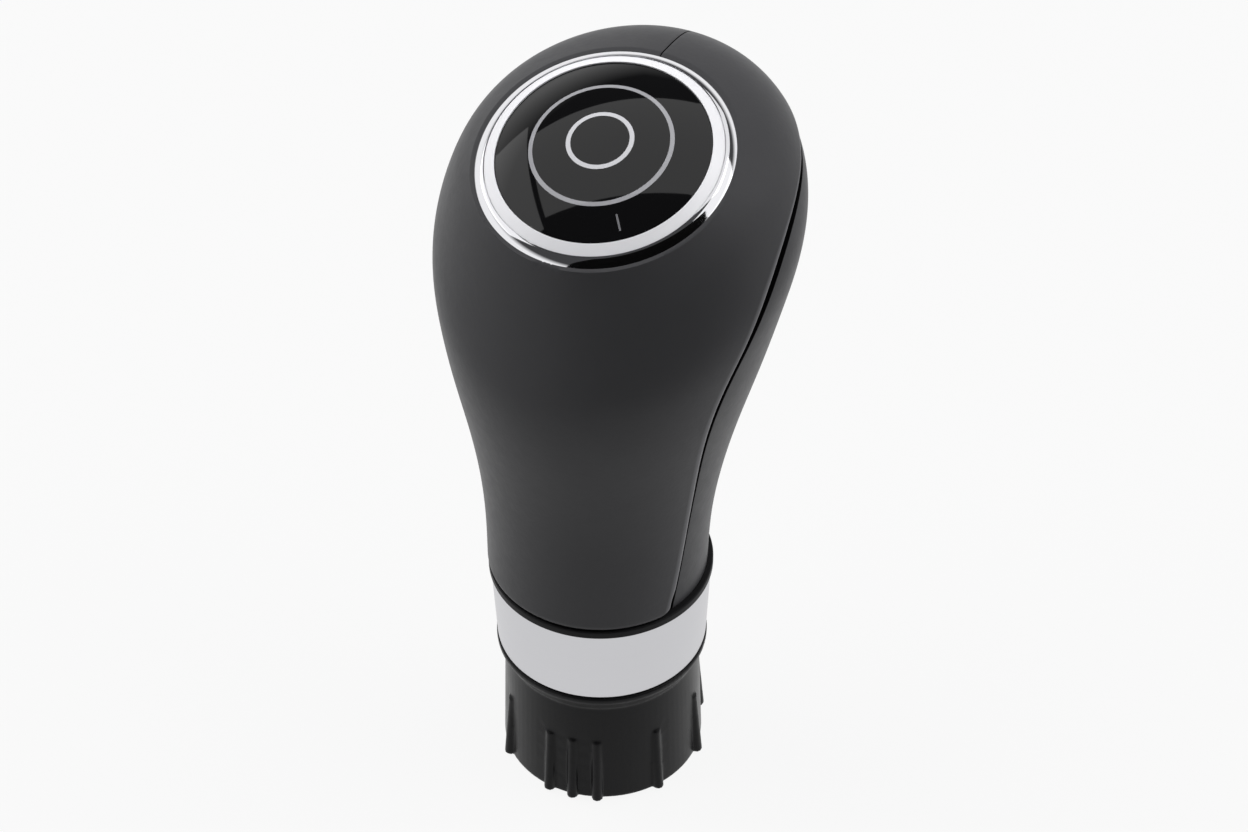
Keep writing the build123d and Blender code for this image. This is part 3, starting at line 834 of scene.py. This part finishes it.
class KNOB_OT_badge(bpy.types.Operator):
    """Badge: the chrome lip, the bright frame and the domed lens"""

    bl_idname = "knob.badge"
    bl_label = "Badge"

    def execute(self, context):
        sizes = context.scene.knob_badge
        bead = [
            (BEAD_CENTRE[0] + BEAD_RADIUS * math.cos(angle), BEAD_CENTRE[1] + BEAD_RADIUS * math.sin(angle))
            for angle in np.linspace(*BEAD_SPAN, 17)
        ]
        lip = turned("chrome_lip", metres(BEZEL_FOOT + bead), sizes.turning_steps)
        shade(lip)
        on_badge(lip)
        # Chrome plate: a near mirror, bright where it sees the walls and black where it sees the card
        chrome = turned_metal(
            "polished_chrome", linear("#e9e9ec"), roughness=0.06, line=0.3 * MM,
            tilt=BADGE_TILT, centre=SEAT_CENTRE, depth=0.0005 * MM,
        )
        finish_piece(lip, chrome, "chrome", "knob", "bezel_ring")
        rim = turned("bright_frame", metres(BADGE_FRAME_PROFILE), sizes.turning_steps)
        break_edges(rim, width=0.12 * MM, segments=3)
        on_badge(rim)
        # Fine flakes in clear lacquer spread the light, so that the frame is nearly white from every side
        bright = turned_metal(
            "silver_lacquer", linear("#e4e4e7"), roughness=0.4, line=0.15 * MM,
            tilt=BADGE_TILT, centre=SEAT_CENTRE, depth=0.002 * MM,
        )
        bright.node_tree.nodes["Principled BSDF"].inputs["Metallic"].default_value = 0.12
        finish_piece(rim, bright, "bright_metal", "knob", "badge_frame")
        curve = (LENS_RADIUS ** 2 + LENS_RISE ** 2) / (2 * LENS_RISE)
        reach = math.asin(LENS_RADIUS / curve)
        dome = [
            (curve * math.sin(angle), LENS_EDGE + LENS_RISE - curve * (1 - math.cos(angle)))
            for angle in (reach * i / LENS_STEPS for i in range(LENS_STEPS + 1))
        ]
        lens = turned("domed_lens", dome + [(LENS_RADIUS, LENS_SEAT), (0, LENS_SEAT)], sizes.turning_steps)
        shade(lens)
        on_badge(lens)
        finish_piece(lens, printed_lens(), "gloss_black", "knob", "badge_lens")
        return {"FINISHED"}


class KNOB_OT_neck(bpy.types.Operator):
    """Neck: the satin trim sleeve and the thin black ring over it"""

    bl_idname = "knob.neck"
    bl_label = "Neck"

    def execute(self, context):
        sizes = context.scene.knob_trim
        steps = context.scene.knob_badge.turning_steps
        sleeve = turned("satin_sleeve", metres(SLEEVE_PROFILE), steps)
        break_edges(sleeve, sizes.edge, segments=3)
        # Anodised aluminium, satin from fine turning: pale and even, with no sharp reflection
        satin = turned_metal(
            "satin_aluminium", sizes.sleeve_color, roughness=0.34, line=0.12 * MM,
            tilt=0, centre=(0, 0, 0), depth=0.004 * MM,
        )
        finish_piece(sleeve, satin, "satin_metal", "knob", "trim_sleeve")
        ring = turned("neck_ring_black", metres(NECK_RING_PROFILE), steps)
        break_edges(ring, sizes.edge, segments=3)
        # Satin ABS: deep black, with a thin light along its edge
        abs_plastic = moulded_plastic(
            "satin_black_abs", sizes.ring_color, roughness=0.42, grit=0.25 * MM, shine=0.08,
        )
        finish_piece(ring, abs_plastic, "black_plastic", "knob", "neck_ring")
        return {"FINISHED"}


class KNOB_OT_lock_collar(bpy.types.Operator):
    """Ribbed lock collar, with the soft edges of a moulding"""

    bl_idname = "knob.lock_collar"
    bl_label = "Lock collar"

    def execute(self, context):
        sizes = context.scene.knob_trim
        collar = merged_copy("lock_collar", "ribbed_collar")
        soften(collar, sizes.collar_step, rounds=4)
        make_active(collar)
        bpy.ops.object.shade_smooth()
        # Moulded nylon: black in front, with a soft grey sheen on its flanks and ribs
        nylon = moulded_plastic(
            "moulded_black_nylon", sizes.plastic_color, roughness=0.3, grit=0.3 * MM, shine=0.11,
        )
        finish_piece(collar, nylon, "black_plastic", "collar", "lock_collar")
        return {"FINISHED"}


class KNOB_OT_inner_parts(bpy.types.Operator):
    """Finishes of the parts inside the head and the collar"""

    bl_idname = "knob.inner_parts"
    bl_label = "Inner parts"

    def execute(self, context):
        # Matt foam moulding, grey glass-filled tube, dull rubber pad and bright plated steel
        black = moulded_plastic("core_polyurethane", linear("#151516"), roughness=0.6, grit=0.3 * MM)
        nylon = moulded_plastic("glass_filled_nylon", linear("#2c2d2f"), roughness=0.5, grit=0.35 * MM)
        rubber = moulded_plastic("black_rubber", linear("#121213"), roughness=0.75, grit=0.2 * MM)
        steel = turned_metal(
            "zinc_plated_steel", linear("#b4b6ba"), roughness=0.3, line=0.2 * MM,
            tilt=0, centre=(0, 0, 0), depth=0.004 * MM,
        )
        finishes = {
            "core": black, "badge_carrier": black, "lever_socket": nylon, "lever_stop": rubber,
            "socket_screws": steel, "retaining_clip": steel, "pawl_left": steel, "pawl_right": steel,
        }
        for node, material in finishes.items():
            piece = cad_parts[node]
            piece.data.materials.clear()
            piece.data.materials.append(material)
        return {"FINISHED"}


def area_light(name, place, turn, width, height, radiance):
    """Soft panel of light, facing down before its turn."""
    data = bpy.data.lights.new(name, "AREA")
    data.shape = "RECTANGLE"
    data.size = width
    data.size_y = height
    data.energy = radiance * math.pi * width * height
    lamp = bpy.data.objects.new(name, data)
    lamp.location = place
    lamp.rotation_euler = turn
    bpy.context.scene.collection.objects.link(lamp)
    return lamp


def towards_knob(place):
    """Turn of a lamp at a place that makes it face the middle of the knob."""
    way = Vector((0, 0, 0.08)) - Vector(place)
    return way.to_track_quat("-Z", "Y").to_euler()


class KNOB_OT_stage(bpy.types.Operator):
    """Pale floor, soft studio light and the camera"""

    bl_idname = "knob.stage"
    bl_label = "Stage"

    def execute(self, context):
        scene = context.scene
        stage = scene.knob_stage
        scene.view_settings.view_transform = "Standard"
        self.add_floor()
        self.add_world(scene, stage)
        self.add_lights()
        self.add_card()
        self.add_camera(scene, stage)
        return {"FINISHED"}

    def add_floor(self):
        """White floor, wider than the picture."""
        deselect()
        bpy.ops.mesh.primitive_plane_add(size=6)
        floor = bpy.context.object
        floor.name = "pale_floor"
        material, tree = empty_material("white_paper")
        # Matt paper, shown nearly white, with only a trace of the knob's shadow
        paper = add_node(tree, "ShaderNodeBsdfDiffuse", {"Color": rgba(linear("#b0b0b0"))})
        glow = add_node(tree, "ShaderNodeEmission", {"Color": (1, 1, 1, 1), "Strength": 1})
        path = add_node(tree, "ShaderNodeLightPath")
        seen = path.outputs["Is Camera Ray"]
        for ray in ("Is Glossy Ray", "Is Transmission Ray"):
            seen = add_node(
                tree, "ShaderNodeMath", {0: seen, 1: path.outputs[ray]}, operation="MAXIMUM",
            ).outputs[0]
        share = add_node(tree, "ShaderNodeMath", {0: seen, 1: FLOOR_WHITE}, operation="MULTIPLY")
        mix = add_node(
            tree, "ShaderNodeMixShader", {0: share.outputs[0], 1: paper.outputs[0], 2: glow.outputs[0]}
        )
        add_node(tree, "ShaderNodeOutputMaterial", {"Surface": mix.outputs[0]})
        floor.data.materials.append(material)

    def add_world(self, scene, stage):
        """White walls with a dark room above them; the camera itself sees white all round."""
        world = bpy.data.worlds.new("studio")
        scene.world = world
        world.use_nodes = True
        tree = world.node_tree
        tree.nodes.clear()
        way = add_node(tree, "ShaderNodeTexCoord").outputs["Generated"]
        right = (math.cos(stage.azimuth), math.sin(stage.azimuth), 0)
        tilted = (WALL_LEAN * math.sin(stage.azimuth), -WALL_LEAN * math.cos(stage.azimuth), 1)
        side, level = (
            add_node(
                tree, "ShaderNodeVectorMath", {0: way, 1: axis}, operation="DOT_PRODUCT",
            ).outputs["Value"]
            for axis in (right, tilted)
        )
        side = add_node(tree, "ShaderNodeMath", {0: side}, operation="ABSOLUTE").outputs[0]
        # The white walls reach higher on both sides and behind than in front
        level = add_node(
            tree, "ShaderNodeMath", {0: side, 1: -WALL_RISE, 2: level}, operation="MULTIPLY_ADD",
        )
        ramp = add_node(tree, "ShaderNodeValToRGB", {0: level.outputs[0]})
        ramp.color_ramp.elements[0].position = WALL_TOP
        ramp.color_ramp.elements[0].color = (1, 1, 1, 1)
        ramp.color_ramp.elements[1].position = DARK_FROM
        ramp.color_ramp.elements[1].color = ROOM_COLOR
        seen = add_node(tree, "ShaderNodeLightPath").outputs["Is Camera Ray"]
        color = add_node(
            tree, "ShaderNodeMix", {"Factor": seen, 6: ramp.outputs[0], 7: (1, 1, 1, 1)}, data_type="RGBA"
        )
        sky = add_node(tree, "ShaderNodeBackground", {"Color": color.outputs[2], "Strength": 1})
        add_node(tree, "ShaderNodeOutputWorld", {"Surface": sky.outputs[0]})

    def add_lights(self):
        """Panels that the badge mirrors, and two keys that no mirror shows."""
        area_light(
            "ceiling_panel", (-0.163, 0.173, 0.8), PANEL_TURN, width=1.01, height=0.647, radiance=0.87,
        )
        area_light("side_panel", (-0.958, -0.241, 0.8), PANEL_TURN, width=0.7, height=0.86, radiance=1.0)
        keys = (("left_key", (-0.85, -0.2, 1.4), 3.2), ("right_key", (0.85, 0.5, 1.1), 2.2))
        for name, place, radiance in keys:
            key = area_light(name, place, towards_knob(place), width=1.2, height=1.2, radiance=radiance)
            key.visible_glossy = False
        place = (0.85, 0.3, 1.0)
        area_light("right_panel", place, towards_knob(place), width=0.8, height=1.0, radiance=1.0)

    def add_card(self):
        """Black card in front on the right, which only shows as the dark part of the lip's reflection."""
        deselect()
        place = (CARD_DISTANCE * math.sin(CARD_TURN), -CARD_DISTANCE * math.cos(CARD_TURN), CARD_HEIGHT / 2)
        bpy.ops.mesh.primitive_plane_add(size=1, location=place, rotation=(math.pi / 2, 0, CARD_TURN))
        card = bpy.context.object
        card.name = "black_card"
        card.scale = (CARD_WIDTH, CARD_HEIGHT, 1)
        material, tree = empty_material("black_felt")
        # Felt swallows the light, so that its reflection is black
        felt = add_node(tree, "ShaderNodeBsdfDiffuse", {"Color": rgba(linear("#0a0a0a"))})
        add_node(tree, "ShaderNodeOutputMaterial", {"Surface": felt.outputs[0]})
        card.data.materials.append(material)
        card.visible_camera = card.visible_diffuse = card.visible_shadow = card.visible_transmission = False

    def add_camera(self, scene, stage):
        """Camera that looks down at the front from the right."""
        right = Vector((math.cos(stage.azimuth), math.sin(stage.azimuth), 0))
        front = Vector((math.sin(stage.azimuth), -math.cos(stage.azimuth), 0))
        back = front * math.cos(stage.elevation) + Vector((0, 0, math.sin(stage.elevation)))
        up = back.cross(right)
        axes = Matrix((right, up, back)).transposed().to_4x4()
        aim = right * stage.aim_right + Vector((0, 0, stage.aim_height))
        data = bpy.data.cameras.new("camera")
        data.sensor_width = SENSOR_WIDTH
        data.lens = FOCAL_PIXELS / FRAME_WIDTH * SENSOR_WIDTH
        data.clip_start = 0.01
        camera = bpy.data.objects.new("camera", data)
        turn = Matrix.Rotation(stage.roll, 4, "Z")
        camera.matrix_world = Matrix.Translation(aim + back * stage.distance) @ axes @ turn
        scene.collection.objects.link(camera)
        scene.camera = camera


PIECES = (
    "front_leather", "rear_leather", "badge", "neck", "lock_collar", "inner_parts", "stage",
)


class KNOB_PT_panel(bpy.types.Panel):
    """Sidebar list of the knob's pieces"""

    bl_idname = "KNOB_PT_panel"
    bl_label = "Gear Shift Knob"
    bl_space_type = "VIEW_3D"
    bl_region_type = "UI"
    bl_category = "Knob"

    def draw(self, context):
        layout = self.layout
        for group in GROUPS:
            settings = getattr(context.scene, group)
            box = layout.box()
            for name in settings.bl_rna.properties.keys():
                if name not in ("rna_type", "name"):
                    box.prop(settings, name)
        for piece in PIECES:
            layout.operator(f"knob.{piece}")


GROUPS = {
    "knob_leather": KnobLeather, "knob_badge": KnobBadge, "knob_trim": KnobTrim, "knob_stage": KnobStage,
}
CLASSES = (
    *GROUPS.values(), KNOB_OT_front_leather, KNOB_OT_rear_leather, KNOB_OT_badge, KNOB_OT_neck,
    KNOB_OT_lock_collar, KNOB_OT_inner_parts, KNOB_OT_stage, KNOB_PT_panel,
)


def register():
    """Adds the classes and their settings."""
    for cls in CLASSES:
        bpy.utils.register_class(cls)
    for name, group in GROUPS.items():
        setattr(bpy.types.Scene, name, bpy.props.PointerProperty(type=group))


def unregister():
    """Takes the settings and the classes away."""
    for name in GROUPS:
        delattr(bpy.types.Scene, name)
    for cls in reversed(CLASSES):
        bpy.utils.unregister_class(cls)


def main():
    """Builds every piece and the stage."""
    register()
    for piece in PIECES:
        getattr(bpy.ops.knob, piece)()


if __name__ == "__main__":
    main()
